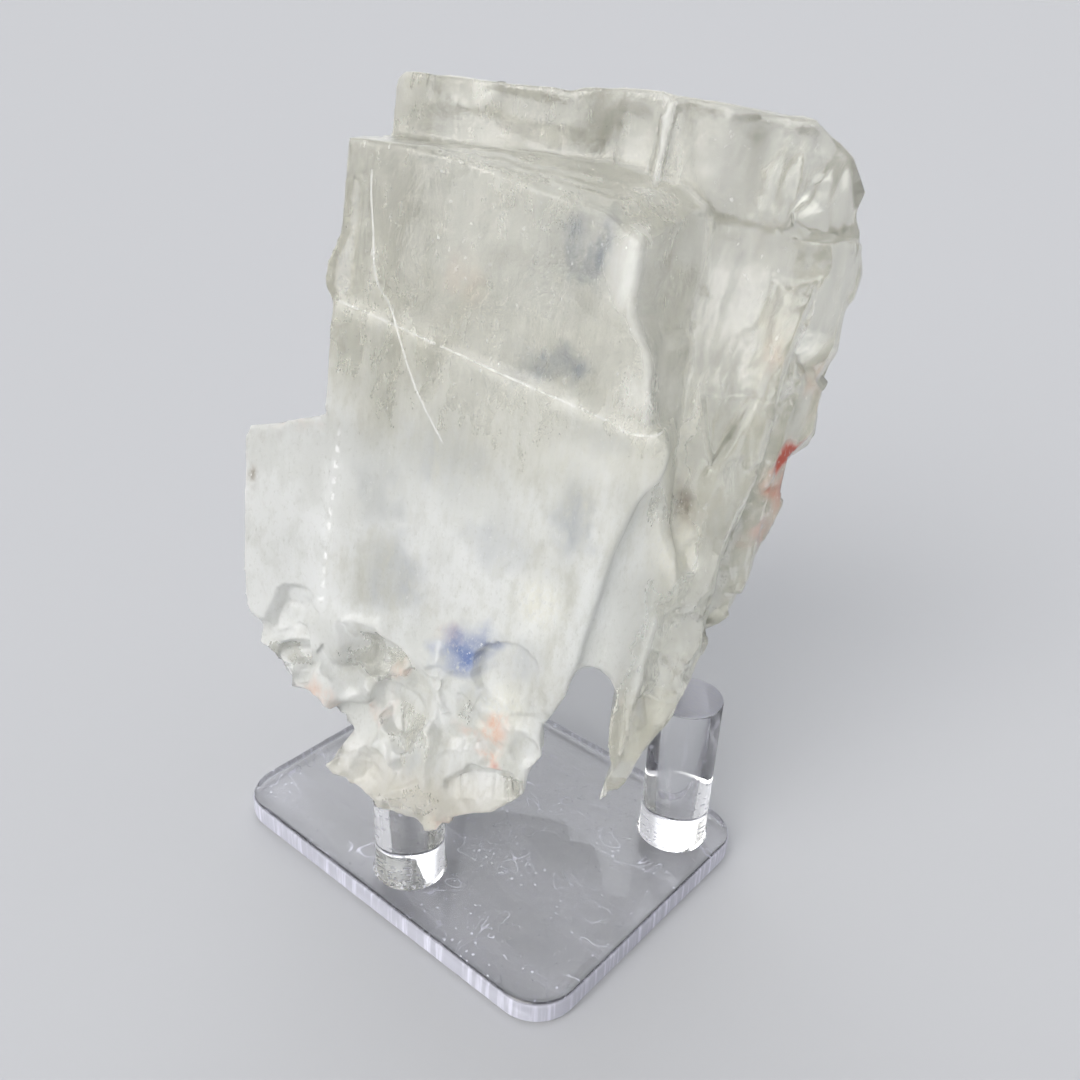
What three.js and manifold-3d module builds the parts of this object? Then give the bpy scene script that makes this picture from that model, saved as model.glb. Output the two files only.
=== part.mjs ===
// A cloudy crystal leaning back on a clear stand with three pegs.
// Millimetres, +Z up. The origin is the middle of the plate's underside, +X runs along
// the plate's long side and +Y points to its two back pegs.
import * as THREE from 'three';
import { mergeVertices } from 'three/addons/utils/BufferGeometryUtils.js';
import Module from 'manifold-3d';

const wasm = await Module();
wasm.setup();

// The stand: a rounded plate and three pegs cut from half inch rod
const PLATE = { length: 80, width: 61, thickness: 5, corner: 8, edge: 1.2 };
const PEG = { radius: 6.35, height: 31, chamfer: 0.3, sides: 48 };
const PEG_PLACES = {
  peg_front: [0, -21],
  peg_back_left: [-30, 20],
  peg_back_right: [30, 20],
};
const PEG_TOP = PLATE.thickness + PEG.height;
const SEAT_GAP = 0.35;

// The crystal's own frame: x to the right along its front face, y into the crystal and z up
// the face. It leans back, rolls to the right and is turned towards the plate's corner.
const CRYSTAL_ORIGIN = [21, -25.5, PEG_TOP];
const LEAN = THREE.MathUtils.degToRad(9);
const ROLL = THREE.MathUtils.degToRad(4);
const TURN = THREE.MathUtils.degToRad(27.45);

// Depths of the crystal's main faces, along its y
const STEP_DEPTH = 0.8;
const LEFT_BLOCK_FRONT = 0.5;
const LEFT_BLOCK_BACK = 29;
const TONGUE_FRONT = 2.5;
const TONGUE_BACK = 19;
const APRON_FRONT = 8;
const WALL = 17;
const FRONT_BACK = 21;
const BACK = 46;
const LIP_BACK = 6.5;
const REACH = 200;

// Outlines are drawn in x and z, seen from the front
const UPPER_BLOCK = [
  [-30.9, 60], [-31.2, 71.5], [-32.6, 74], [-32.4, 77.5], [-30.9, 81.5], [-30.8, 97], [24, 97], [24, 60],
];
const LOWER_BLOCK = [
  [-31.1, 72.5], [-31, 56.9], [-28.7, 55.6], [-28.4, 24], [-29.4, 10.8], [-27.5, 9.8], [-23.7, 5.3],
  [-22.2, 5.3], [-25.7, -1.2], [-22, -5], [-14, -7.6], [-8, -9.1], [-3.8, -7], [-1, -5.8], [5, 0.6],
  [7.2, 3], [6.8, 7], [8.8, 10.2],
  [7.9, 14.3], [11, 21], [11.8, 25.5], [12.2, 31], [13.2, 38], [14, 44], [16, 52], [18.7, 57.5],
  [19, 60], [18, 63.2], [14.5, 61.8], [0, 65.3], [-20, 70.2],
];
const LEFT_BLOCK = [
  [-25, 56.8], [-31, 56.4], [-33, 55.2], [-36.9, 54], [-37.6, 53.2], [-42.3, 52], [-43, 50], [-42.5, 40],
  [-42.2, 30], [-41.3, 22.8], [-39.3, 20.8], [-38.8, 17.2], [-36.8, 16.5], [-33.2, 10.8],
  [-25, 10.8],
];
const TONGUE = [
  [10, 24.8], [14.2, 24.2], [16.3, 22.4], [17.8, 19.8], [17.4, 14.7], [18.1, 10.4], [19, 6.7], [17.8, 1.4],
  [19.3, 0.4], [21.6, 4.1], [23.4, 9.9], [25.9, 14.8], [28, 20.5], [28.8, 32.2], [27.4, 34.4],
  [27, 39.2], [23.8, 40.6], [21.6, 43], [20, 47.3], [19, 57], [10, 57],
];
const APRON = [
  [14, 92], [30, 92], [33.7, 86], [31, 60], [28.8, 46], [29, 33], [28.6, 24], [14, 24],
];
const WINDOW = [[20.8, 66.8], [29.4, 67.8], [24.6, 55.4]];
const BACK_BLOCK = [
  [-30.5, -2], [-30.6, 102.6], [-29.6, 103.8], [-20, 104.2], [-5, 104.3], [-3.5, 104.9], [4, 105.9],
  [15, 105.6], [29, 104.8], [31.7, 103], [35.2, 101.4], [36.8, 98.9], [38.1, 97], [37.3, 94],
  [40.3, 86], [39.9, 82.2], [38.8, 80.6], [39.2, 73], [38.3, 66.6], [38.8, 58.4], [36.4, 49.5], [33.8, 40],
  [32.4, 33], [30, 28.5], [28.6, 22], [26.5, 12], [24.8, 9], [22.6, 4], [22, -2],
];
const ARCH = [
  [6.6, -40], [6.8, 6], [8.6, 10], [7.7, 14.3], [10.8, 21], [11.5, 25.2], [13, 26.9], [15.2, 27.1],
  [17, 26.2], [19.4, 24], [19.4, -40],
];

// Terraces that step back from the back block, and how deep each reaches
const TERRACES = [
  {
    back: 49.5,
    outline: [[27, 34], [31.5, 62], [30.5, 90], [12, 92.5], [-20, 93.5], [-27.5, 90], [-27, 34]],
  },
  {
    back: 54,
    outline: [[14, 20], [21, 44], [19.5, 75.5], [6, 78], [-16, 79.5], [-23.5, 68], [-22.5, 20]],
  },
  {
    back: 59.5,
    outline: [[9, -2], [13, 22], [11.5, 56.5], [-8, 59.5], [-28, 60.5], [-33.5, 53], [-33, -2]],
  },
  {
    back: 66,
    outline: [[1, -2], [3, 19], [-0.5, 40], [-12, 41], [-30.5, 42.5], [-36, 36], [-35.5, -2]],
  },
];

function solid(geometry) {
  geometry.deleteAttribute('normal');
  geometry.deleteAttribute('uv');
  const merged = mergeVertices(geometry, 1e-4);
  return new wasm.Manifold(new wasm.Mesh({
    numProp: 3,
    vertProperties: new Float32Array(merged.attributes.position.array),
    triVerts: new Uint32Array(merged.index.array),
  }));
}

function slab(outline, front, back) {
  const shape = new THREE.Shape(outline.map(([x, z]) => new THREE.Vector2(x, z)));
  const geometry = new THREE.ExtrudeGeometry(shape, { depth: back - front, bevelEnabled: false });
  return solid(geometry.rotateX(Math.PI / 2).translate(0, back, 0));
}

function block(left, right, front, back, bottom, top) {
  return slab([[left, bottom], [right, bottom], [right, top], [left, top]], front, back);
}

function lump(centre, radii) {
  const geometry = new THREE.IcosahedronGeometry(1, 4);
  return solid(geometry.scale(...radii).translate(...centre));
}

// All space on the side of the plane through three points that (b - a) x (c - a) points to
function beyond(a, b, c) {
  const origin = new THREE.Vector3(...a);
  const along = new THREE.Vector3(...b).sub(origin);
  const across = new THREE.Vector3(...c).sub(origin);
  const normal = along.cross(across).normalize();
  const turn = new THREE.Quaternion().setFromUnitVectors(new THREE.Vector3(0, 0, 1), normal);
  const geometry = new THREE.BoxGeometry(REACH, REACH, REACH).translate(0, 0, REACH / 2);
  return solid(geometry.applyQuaternion(turn).translate(...a));
}

function crystalPose() {
  const pose = new THREE.Group();
  pose.position.set(...CRYSTAL_ORIGIN);
  pose.rotation.set(-LEAN, ROLL, TURN, 'ZXY');
  pose.updateMatrix();
  return pose;
}

// What the pegs take away: all below their tops, apart from the lip that hangs in front
function belowPegTops(pose) {
  const top = PEG_TOP + SEAT_GAP;
  const geometry = new THREE.BoxGeometry(REACH, REACH, REACH).translate(0, 0, top - REACH / 2);
  const below = solid(geometry.applyMatrix4(pose.matrix.clone().invert()));
  const behindLip = beyond([0, LIP_BACK, 2], [20, LIP_BACK, 2], [0, LIP_BACK - 3, -9]);
  return below.intersect(behindLip);
}

// The upper front block: its falling ledge, and a slanted right side that swells out lower down
function upperBlock() {
  const ledge = beyond([-30.8, 0, 94], [8, WALL, 95.6], [-30.8, WALL, 94.7]);
  const ledgeFront = beyond([-24, 0, 94.2], [10, 0, 88.9], [5, WALL, 95.4]);
  const ledgeCorner = beyond([3.5, 0, 90.4], [9.5, 0, 86.6], [12, 14, 93]);
  const highSide = beyond([10, 0, 87], [10.4, 0, 76], [16.8, WALL, 82]);
  const lowSide = beyond([10.4, 0, 77], [14, 0, 72], [19, WALL, 72]);
  const footSide = beyond([13.9, 0, 72], [15.2, 0, 63], [19.2, WALL, 67]);
  const leftRecess = block(-40, -29.6, 6, WALL - 2, 63, 89);
  const rough = slab(UPPER_BLOCK, STEP_DEPTH, FRONT_BACK).subtract(leftRecess);
  const high = rough
    .subtract(ledge)
    .subtract(ledgeFront)
    .subtract(ledgeCorner)
    .subtract(highSide);
  const low = rough
    .intersect(block(-40, 40, 0, REACH, 0, 82))
    .subtract(lowSide)
    .subtract(footSide);
  return high.add(low);
}

// The lower front block, with the scooped break above its lip and chips along its right side
function lowerBlock() {
  const scoop = lump([-18.3, -6, 13], [11, 8.8, 16.4]);
  const smallScoop = lump([-22.8, -1.6, 7.2], [4.4, 4.4, 5.6]);
  const chip = lump([3.6, -2.2, 3], [3.4, 4, 2.8]);
  const hollow = lump([-1, -10.3, 13.5], [14, 11, 14]);
  const lip = lump([-11.2, 4.2, -2.6], [13, 5.4, 6.2]);
  return slab(LOWER_BLOCK, 0, FRONT_BACK)
    .subtract(scoop)
    .subtract(smallScoop)
    .subtract(hollow)
    .add(lip)
    .subtract(chip);
}

// The left block: a top that falls to the back and glassy chips along its broken foot
function leftBlock() {
  const top = beyond([-43, 0, 52.2], [-29, 0, 57], [-36, LEFT_BLOCK_BACK, 44]);
  const sideChip = beyond([-43, 12, 44], [-37, LEFT_BLOCK_BACK, 44], [-43, 14, 24]);
  return slab(LEFT_BLOCK, LEFT_BLOCK_FRONT, LEFT_BLOCK_BACK)
    .subtract(top)
    .subtract(sideChip)
    .subtract(lump([-38, -1.4, 19.5], [3, 3.4, 2.6]))
    .subtract(lump([-33.4, -1.2, 15.6], [2.4, 3.4, 4.2]));
}

// The melted looking tongue on the right, which ends in a pointed leg
function tongue() {
  const face = beyond([12, TONGUE_FRONT, 40], [27, 10.5, 40], [12, TONGUE_FRONT, 57]);
  const legBack = beyond([20, TONGUE_BACK, 25], [26, TONGUE_BACK, 25], [20, 11, 2]);
  return slab(TONGUE, 0, TONGUE_BACK).subtract(face).subtract(legBack);
}

// The apron that flares out from under the back block's wall towards the tongue
function apron() {
  const face = beyond([14, WALL, 92], [30, 10.5, 42], [30, WALL, 92]);
  return slab(APRON, APRON_FRONT, WALL + 2)
    .subtract(face)
    .subtract(slab(WINDOW, APRON_FRONT, 14.6));
}

// The tall back block with its bevelled right rim
function backBlock() {
  const rightScoop = lump([21, -6, 85], [25, 25, 28]);
  const rib = slab([[8, 94], [9.3, 94], [10.3, 105], [9, 105]], WALL - 1, WALL + 1);
  const heel = block(8, 26.2, 29, 44, -2, 24);
  const topStep = block(-40, -4, 33, BACK + 1, 99.5, 120);
  const backRight = beyond([41, 33, 40], [30, BACK + 0.4, 40], [41, 35, 90]);
  const backChips = lump([-31, 45, 76], [5, 6, 9]).add(lump([33, 47, 97], [9, 6, 7]));
  return slab(BACK_BLOCK, WALL, BACK)
    .add(heel)
    .subtract(topStep)
    .subtract(backRight)
    .subtract(backChips)
    .add(apron())
    .subtract(rightScoop)
    .subtract(rightRim())
    .add(rib);
}

// What bevels the rim: a long facet below the corner and a broader one at the corner
function rightRim() {
  const low = beyond([28.6, 10.5, 44], [39, WALL + 9, 60], [33.6, 16.2, 86])
    .intersect(block(20, 60, 0, BACK + 1, 30, 90));
  const high = beyond([27.8, WALL, 88], [38, WALL + 9, 96], [29, WALL, 106])
    .intersect(block(20, 60, 0, BACK + 1, 90, 110));
  return low.add(high);
}

function terraces() {
  return TERRACES
    .map(({ outline, back }) => slab(outline, BACK - 12, back))
    .reduce((joined, next) => joined.add(next));
}

// The arch's tunnel falls and drifts left towards the back, so that it stays open to the eye
function archTunnel() {
  const drift = -0.13;
  const fall = -0.45;
  const shear = new THREE.Matrix4().makeShear(0, 0, drift, fall, 0, 0);
  const shape = new THREE.Shape(ARCH.map(([x, z]) => new THREE.Vector2(x, z)));
  const geometry = new THREE.ExtrudeGeometry(shape, { depth: BACK + 1, bevelEnabled: false });
  return solid(geometry.rotateX(Math.PI / 2).translate(0, BACK, 0).applyMatrix4(shear));
}

function crystalSolid(pose) {
  const underside = lump([2, 53, 3], [14, 14, 9]);
  return backBlock()
    .add(terraces())
    .subtract(underside)
    .add(upperBlock())
    .add(lowerBlock())
    .subtract(archTunnel())
    .add(leftBlock())
    .add(tongue())
    .subtract(belowPegTops(pose));
}

function meshFrom(body, name, material) {
  const { vertProperties, triVerts } = body.getMesh();
  const geometry = new THREE.BufferGeometry();
  geometry.setAttribute('position', new THREE.BufferAttribute(vertProperties, 3));
  geometry.setIndex(new THREE.BufferAttribute(triVerts, 1));
  geometry.computeVertexNormals();
  const mesh = new THREE.Mesh(geometry, material);
  mesh.name = name;
  return mesh;
}

function platePiece(material) {
  const { length, width, thickness, corner, edge } = PLATE;
  const halfLength = length / 2;
  const halfWidth = width / 2;
  const shape = new THREE.Shape();
  shape.absarc(halfLength - corner, halfWidth - corner, corner, 0, Math.PI / 2);
  shape.absarc(corner - halfLength, halfWidth - corner, corner, Math.PI / 2, Math.PI);
  shape.absarc(corner - halfLength, corner - halfWidth, corner, Math.PI, Math.PI * 1.5);
  shape.absarc(halfLength - corner, corner - halfWidth, corner, Math.PI * 1.5, Math.PI * 2);
  const geometry = new THREE.ExtrudeGeometry(shape, {
    depth: thickness - 2 * edge,
    bevelThickness: edge,
    bevelSize: edge,
    bevelOffset: -edge,
    bevelSegments: 3,
    curveSegments: 8,
  });
  const mesh = new THREE.Mesh(geometry.translate(0, 0, edge), material);
  mesh.name = 'base_plate';
  return mesh;
}

function pegPiece(name, [x, y], material) {
  const { radius, height, chamfer, sides } = PEG;
  const profile = [[0, 0], [radius, 0], [radius, height - chamfer], [radius - chamfer, height], [0, height]];
  const points = profile.map(([r, h]) => new THREE.Vector2(r, h));
  const mesh = new THREE.Mesh(new THREE.LatheGeometry(points, sides).rotateX(Math.PI / 2), material);
  mesh.name = name;
  mesh.position.set(x, y, PLATE.thickness);
  return mesh;
}

const crystalMaterial = new THREE.MeshStandardMaterial({ color: 0xd3d4cb, roughness: 0.4, metalness: 0 });
const acrylicMaterial = new THREE.MeshStandardMaterial({ color: 0xdfe2ee, roughness: 0.08, metalness: 0 });

const model = new THREE.Group();
model.add(platePiece(acrylicMaterial));
for (const [name, place] of Object.entries(PEG_PLACES)) {
  model.add(pegPiece(name, place, acrylicMaterial));
}
const pose = crystalPose();
pose.add(meshFrom(crystalSolid(pose), 'crystal', crystalMaterial));
model.add(pose);

export default model;
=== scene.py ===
import math

import bmesh
import bpy
import numpy as np
from bpy.props import FloatProperty, FloatVectorProperty, IntProperty, PointerProperty
from mathutils import Matrix, Vector, noise


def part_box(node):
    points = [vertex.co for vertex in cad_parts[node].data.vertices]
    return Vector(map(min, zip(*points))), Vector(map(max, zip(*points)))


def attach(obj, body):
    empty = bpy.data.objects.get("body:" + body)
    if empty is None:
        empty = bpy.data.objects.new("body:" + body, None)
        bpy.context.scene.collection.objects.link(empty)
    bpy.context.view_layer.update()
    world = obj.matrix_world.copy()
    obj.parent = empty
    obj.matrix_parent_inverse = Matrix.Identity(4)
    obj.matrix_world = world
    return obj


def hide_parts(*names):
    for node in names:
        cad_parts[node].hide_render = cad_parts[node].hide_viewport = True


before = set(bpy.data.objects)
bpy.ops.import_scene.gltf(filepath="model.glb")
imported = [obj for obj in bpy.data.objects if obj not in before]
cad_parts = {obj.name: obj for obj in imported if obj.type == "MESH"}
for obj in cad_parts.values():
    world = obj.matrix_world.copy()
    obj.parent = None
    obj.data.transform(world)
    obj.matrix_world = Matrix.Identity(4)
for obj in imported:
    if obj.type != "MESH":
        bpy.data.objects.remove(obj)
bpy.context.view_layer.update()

bl_info = {
    "name": "Crystal on a clear stand",
    "version": (1, 0, 0),
    "blender": (4, 5, 0),
    "location": "View3D > Sidebar > Crystal",
    "description": "Builds a milky crystal that rests on three clear pegs of a clear plate",
    "category": "Object",
}

PEG_NODES = ("peg_front", "peg_back_left", "peg_back_right")
MM = 0.001
MERGE_DISTANCE = 1e-5
WEIGHT_LEVELS = 24
SHARP_ANGLE = math.radians(30)
STRAIGHT_UP = 0.99
CRYSTAL_INDEX = 1.434
ACRYLIC_INDEX = 1.49
ACRYLIC_TINT = (0.985, 0.985, 1.0, 1)
DUST_ROUGHNESS = 0.75


def tone(red, green, blue):
    """Turns a display colour of 0 to 255 into the linear colour that shaders take."""
    shares = [part / 255 for part in (red, green, blue)]
    return tuple(s / 12.92 if s <= 0.04045 else ((s + 0.055) / 1.055) ** 2.4 for s in shares)


def length(label, note, value):
    return FloatProperty(name=label, description=note, default=value, unit="LENGTH", precision=5)


def angle(label, note, degrees):
    return FloatProperty(name=label, description=note, default=math.radians(degrees), subtype="ANGLE")


def colour(label, note, value):
    return FloatVectorProperty(name=label, description=note, default=value, subtype="COLOR", min=0, max=1)


def place(label, note, value):
    return FloatVectorProperty(name=label, description=note, default=value, subtype="XYZ", unit="LENGTH",
                               precision=5)


class CrystalSettings(bpy.types.PropertyGroup):
    origin: place("Origin", "Foot of the front face's middle line", (0.021, -0.0255, 0.036))
    lean: angle("Lean", "How far the front face leans away", 9)
    roll: angle("Roll", "How far the crystal rolls to the right", 4)
    turn: angle("Turn", "How far the front face turns from the plate's long side", 27.45)
    grain: length("Grain", "Spacing of the points that carry the surface", 0.00050)
    softening: IntProperty(name="Softening", description="Rounds of smoothing of the edges", default=2, min=0)
    chance: IntProperty(name="Chance", description="Seed of the flakes", default=7)
    most_faces: IntProperty(name="Most faces", description="Triangles kept at the end", default=190000)
    ripple: length("Ripple", "Height of the slow waves of the dissolved faces", 0.0007)
    groove: length("Groove", "Depth of the upright grooves of the right flank", 0.0006)
    ledge: length("Ledge", "Height of the small cleavage ledges at the back", 0.0010)
    body: colour("Body", "Warm clear body of the upper crystal", tone(241, 238, 224))
    frost: colour("Frost", "White frosting of the lower front and the edges", tone(251, 252, 251))
    # Painted shade of the clear windows of the front face, and faint grey clouds.
    cloud_and_window_grey: colour("Cloud", "Blue-grey veils inside the crystal", tone(106, 117, 134))
    # Painted shade: darker grey-green on the upper wall and in the windows of the right flank; also the
    # colour of the random grey mottles.
    shade: colour("Shade", "Grey-green depth of the upper wall and the flank", tone(158, 158, 142))
    rust: colour("Rust", "Iron stain at the broken right rim", tone(178, 62, 34))
    peach: colour("Peach", "Pale stain in the foot", tone(226, 172, 140))
    blue: colour("Blue", "Blue spot over the foot", tone(74, 104, 168))
    cream: colour("Cream", "Cream lip at the bottom", tone(240, 232, 210))
    crust: colour("Crust", "Rough pale crust of the right flank", tone(232, 229, 208))
    # Painted shade in creases, cracks and pits, brown-grey.
    dusk: colour("Dusk", "Brown-grey shade in the cracks", tone(128, 118, 102))
    depth_tint: colour("Depth tint", "Colour that light takes on in the depth of the crystal",
                       (0.88, 0.89, 0.83))
    depth: FloatProperty(name="Depth", description="How strongly the depth tint builds up", default=10.0)
    # Painted highlights on the edges and ridges; also the white of scratches, bubbles and specks, and the
    # near-white of the clear part.
    glint: colour("Glint", "White of the edges and fine lines", tone(250, 250, 248))


class StandSettings(bpy.types.PropertyGroup):
    corner: length("Corner", "Radius of the plate's corners", 0.008)
    edge: length("Edge", "Radius of the plate's edges", 0.0012)
    peg_edge: length("Peg edge", "Radius of the edge of a peg's top", 0.0003)
    collar: length("Collar", "How far the glue stands out round a peg's foot", 0.0004)
    collar_height: length("Collar height", "Height of the glue round a peg's foot", 0.0008)
    glue: length("Glue", "Gap of the glue line under a peg", 0.00003)
    dust: colour("Dust", "Dust and scratches on the acrylic", tone(232, 232, 246))


class StageSettings(bpy.types.PropertyGroup):
    floor: colour("Floor", "Pale floor", tone(186, 187, 190))
    floor_size: length("Floor size", "Side of the floor", 40.0)
    camera_place: place("Camera", "Where the camera stands", (0.11076, -0.12244, 0.15162))
    camera_lens: FloatProperty(name="Lens", description="Focal length on a 36 mm frame", default=36.23,
                               subtype="DISTANCE_CAMERA")
    key: FloatProperty(name="Key", description="Strength of the key light", default=6.0)
    rim: FloatProperty(name="Rim", description="Strength of the light from behind", default=1.2)
    room: FloatProperty(name="Room", description="Strength of the pale surroundings", default=0.85)


def crystal_turn(settings):
    """The rotation from the crystal's own axes to the part's axes."""
    turn = Matrix.Rotation(settings.turn, 3, "Z")
    lean = Matrix.Rotation(-settings.lean, 3, "X")
    roll = Matrix.Rotation(settings.roll, 3, "Y")
    return turn @ lean @ roll


# Shader wiring.

class Wire:
    """A socket of a node tree; arithmetic on it adds Math nodes."""

    def __init__(self, tree, socket=None):
        self.tree = tree
        self.socket = socket

    def node(self, kind, settings=None, inputs=None, output=0):
        """Adds a node, sets its settings, then fills or links its sockets."""
        added = self.tree.nodes.new(kind)
        for key, value in (settings or {}).items():
            if key == "stops":
                fill_ramp(added.color_ramp, value)
            elif key == "points":
                fill_curve(added.mapping, value)
            else:
                setattr(added, key, value)
        for key, value in (inputs or {}).items():
            if isinstance(value, Wire):
                self.tree.links.new(value.socket, added.inputs[key])
            else:
                added.inputs[key].default_value = value
        return Wire(self.tree, added.outputs[output])

    def math(self, operation, *values):
        return self.node("ShaderNodeMath", {"operation": operation}, dict(enumerate(values)))

    def __add__(self, other):
        return self.math("ADD", self, other)

    def __sub__(self, other):
        return self.math("SUBTRACT", self, other)

    def __rsub__(self, other):
        return self.math("SUBTRACT", other, self)

    def __mul__(self, other):
        return self.math("MULTIPLY", self, other)

    def __truediv__(self, other):
        return self.math("DIVIDE", self, other)

    __radd__ = __add__
    __rmul__ = __mul__


def fill_ramp(ramp, stops):
    while len(ramp.elements) < len(stops):
        ramp.elements.new(1.0)
    for element, (position, value) in zip(ramp.elements, stops):
        element.position = position
        element.color = (*value, 1.0)


def fill_curve(mapping, points):
    curve = mapping.curves[0]
    while len(curve.points) < len(points):
        curve.points.new(0.5, 0.5)
    for point, spot in zip(curve.points, points):
        point.location = spot
    mapping.update()


def new_material(name):
    material = bpy.data.materials.new(name)
    material.use_nodes = True
    material.node_tree.nodes.clear()
    return material, Wire(material.node_tree)


def show(start, surface, volume=None):
    output = start.tree.nodes.new("ShaderNodeOutputMaterial")
    start.tree.links.new(surface.socket, output.inputs["Surface"])
    if volume:
        start.tree.links.new(volume.socket, output.inputs["Volume"])


def between(value, low, high):
    """Rises smoothly from 0 at low to 1 at high."""
    span = {"Value": value, "From Min": low, "From Max": high}
    return value.node("ShaderNodeMapRange", {"interpolation_type": "SMOOTHSTEP"}, span)


def blend(share, below, above):
    """Mixes two colours."""
    below, above = [c if isinstance(c, Wire) else (*c, 1.0) for c in (below, above)]
    return share.node("ShaderNodeMix", {"data_type": "RGBA"}, {0: share, 6: below, 7: above}, 2)


def vector(operation, first, *others, output=0):
    values = dict(enumerate((first, *others)))
    return first.node("ShaderNodeVectorMath", {"operation": operation}, values, output)


def cloud_noise(where, scale, detail, roughness, distortion=0.0):
    values = {"Vector": where, "Scale": scale, "Detail": detail, "Roughness": roughness,
              "Distortion": distortion}
    return where.node("ShaderNodeTexNoise", None, values)


def stretched(where, scale):
    return where.node("ShaderNodeMapping", {"vector_type": "POINT"}, {"Vector": where, "Scale": scale})


def strongest(first, *others):
    """The largest of several values."""
    for other in others:
        first = first.math("MAXIMUM", first, other)
    return first


def mixture(values, parts, base=0.0):
    """A base value and a part of each named value, added up."""
    for name, part in parts:
        base = base + values[name] * part
    return base


def bump(height, strength, distance):
    values = {"Height": height, "Strength": strength, "Distance": distance}
    return height.node("ShaderNodeBump", None, values)


# Modelling.

def clear_selection():
    if bpy.context.mode != "OBJECT":
        bpy.ops.object.mode_set(mode="OBJECT")
    bpy.ops.object.select_all(action="DESELECT")


def copy_of_node(node, name):
    """A new piece with the merged mesh of a solid."""
    clear_selection()
    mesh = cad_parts[node].data.copy()
    mesh.name = name
    mesh.materials.clear()
    piece = bpy.data.objects.new(name, mesh)
    bpy.context.scene.collection.objects.link(piece)
    piece.select_set(True)
    bpy.context.view_layer.objects.active = piece
    bpy.ops.object.mode_set(mode="EDIT")
    bpy.ops.mesh.select_all(action="SELECT")
    bpy.ops.mesh.remove_doubles(threshold=MERGE_DISTANCE)
    bpy.ops.object.mode_set(mode="OBJECT")
    return piece


def apply_modifier(piece, kind, **settings):
    modifier = piece.modifiers.new(kind.lower(), kind)
    for key, value in settings.items():
        setattr(modifier, key, value)
    bpy.ops.object.modifier_apply(modifier=modifier.name)


def points_of(piece):
    points = np.empty(len(piece.data.vertices) * 3)
    piece.data.vertices.foreach_get("co", points)
    return points.reshape(-1, 3)


def normals_of(piece):
    normals = np.empty(len(piece.data.vertices) * 3)
    piece.data.vertex_normals.foreach_get("vector", normals)
    return normals.reshape(-1, 3)


def rise(values, low, high):
    """Rises smoothly from 0 at low to 1 at high, for whole arrays."""
    share = np.clip((values - low) / (high - low), 0, 1)
    return share * share * (3 - 2 * share)


def weigh(piece, name, weights):
    """Makes a vertex group of the weights, in a few even steps."""
    group = piece.vertex_groups.new(name=name)
    steps = np.rint(np.clip(weights, 0, 1) * WEIGHT_LEVELS).astype(int)
    for step in range(1, WEIGHT_LEVELS + 1):
        members = np.flatnonzero(steps == step).tolist()
        if members:
            group.add(members, step / WEIGHT_LEVELS, "REPLACE")


def texture(name, kind, **settings):
    made = bpy.data.textures.new(name, kind)
    for key, value in settings.items():
        setattr(made, key, value)
    return made


def finish_piece(piece, material, node):
    piece.data.materials.clear()
    piece.data.materials.append(material)
    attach(piece, "root")
    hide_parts(node)


# The crystal. Places are in its own axes in mm: x along the front face, y into the crystal, z up.

# Raised lines: course in x and z, reach in y, half width, height, and how strong the painted highlight along
# the line is.
RIDGES = (
    (((10, 88), (9.8, 84), (10.2, 80), (10.8, 77), (12, 75), (13.5, 73.2), (14.3, 70), (15, 64)),
     (-3, 7), 1.3, 0.45, 0.75),
    (((9, 94), (9.4, 100), (8.2, 105)), (11, 24), 0.7, 0.5, 0.8),
    (((17, 95), (17.6, 104)), (11, 24), 1.3, 0.4, 0.35),
    (((-9.3, 24), (-9.6, 12), (-9, 0)), (-6, 10), 0.7, 1.0, 0.6),
    (((-26, 24), (-24.5, 25.2), (-19.5, 25.2), (-15, 22.3), (-12, 18)), (-6, 9), 0.7, 1.0, 0.75),
    (((-24, 11), (-19, 13.5), (-15.5, 17.5), (-12.5, 21)), (-6, 9), 0.8, 1.0, 0.7),
    (((-18, 9), (-15.5, 2), (-16, -4)), (-6, 9), 0.9, 1.0, 0.5),
    (((34.5, 88), (33, 70), (31, 55), (29.5, 46)), (8, 30), 0.6, 0.5, 0.7),
    (((30.5, 86), (29.6, 72), (27.5, 58), (27, 48)), (8, 22), 0.7, 0.3, 0.25),
    (((26, 84), (25.2, 74), (23.8, 67)), (8, 22), 0.9, 0.25, 0.25),
    (((21.5, 82), (20.6, 72), (20.8, 60)), (6, 20), 0.9, 0.35, 0.30),
    (((37.5, 92), (36.8, 80), (37.5, 70)), (10, 30), 0.8, 0.5, 0.5),
    (((18, 57), (19.5, 47), (22.5, 40), (24, 38)), (0, 12), 0.7, 0.5, 0.25),
    (((21, 33), (20.5, 22), (20, 10)), (-2, 12), 0.7, 0.6, 0.45),
)
# Hollows: centre, radii and depth.
HOLLOWS = (
    ((-19, 0, 20), (6.5, 7, 4.0), 1.5),
    ((-13.5, 0, 11), (3.5, 6, 6), 1.2),
    ((-4.5, 0, 6), (4, 6, 5), 0.9),
    ((14.5, 8, 84), (3, 8, 6), 0.6),
    ((15.5, 8, 70), (2.5, 8, 7), 0.6),
    ((32, 12, 93), (4, 10, 8), 1.0),
    ((-33, 2, 15), (4, 8, 4), 1.2),
    ((4, 17, 99.5), (4.5, 6, 4.5), 0.7),
    ((-12, 17, 100), (9, 6, 4), 0.6),
)
DEEPEST = max(depth for _, _, depth in HOLLOWS)
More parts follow.
